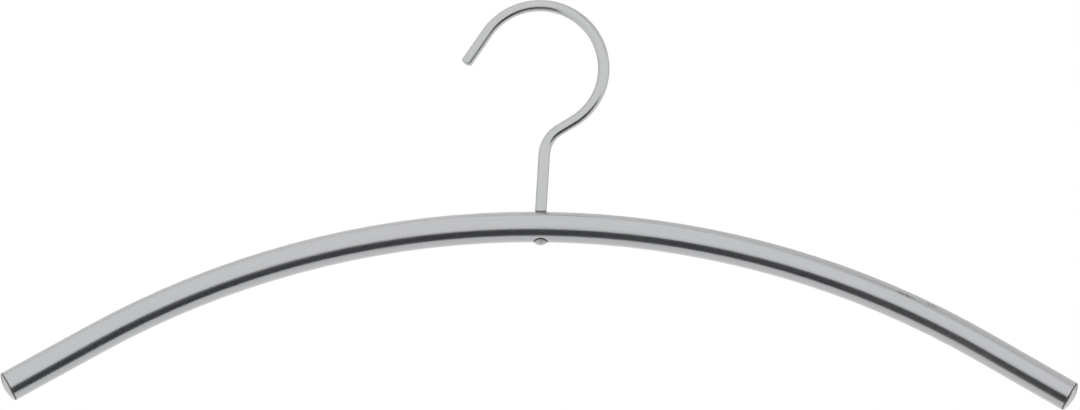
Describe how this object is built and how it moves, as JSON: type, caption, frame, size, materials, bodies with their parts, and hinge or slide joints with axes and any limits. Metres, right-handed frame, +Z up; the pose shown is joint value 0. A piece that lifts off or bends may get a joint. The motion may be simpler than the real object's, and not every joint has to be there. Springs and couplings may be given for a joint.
{
  "type": "clothes hanger",
  "caption": "Arched clothes hanger bent from one round steel tube with domed end plugs, on a wire hook that swivels in a riveted bush.",
  "frame": {"origin": "the point inside the top of the hook's ring where a rail bears", "axes": "+X along the hanger to the right when the hook's mouth opens to the left, +Y away from the viewer, +Z up along the line the hook turns about"},
  "size_m": [0.4228, 0.012, 0.1624],
  "materials": {
    "satin_tube_steel": "satin, brushed along the tube",
    "turned_cap_steel": "fine turned and tumbled satin",
    "hook_wire_steel": "satin, brushed along the wire",
    "bush_sintered_iron": "sintered iron filled with oil, matt and dark"
  },
  "bodies": {
    "hook": {"hook": "hook_wire_steel"},
    "hanger": {"arched_tube": "satin_tube_steel", "left_end_cap": "turned_cap_steel", "right_end_cap": "turned_cap_steel", "swivel_bush": "bush_sintered_iron"}
  },
  "joints": [
    {"name": "hook_swivel", "type": "hinge", "parent": "hook", "child": "hanger", "pos_m": [0.0009, 0, -0.0868], "axis": [0, 0, 1], "continuous": true}
  ]
}
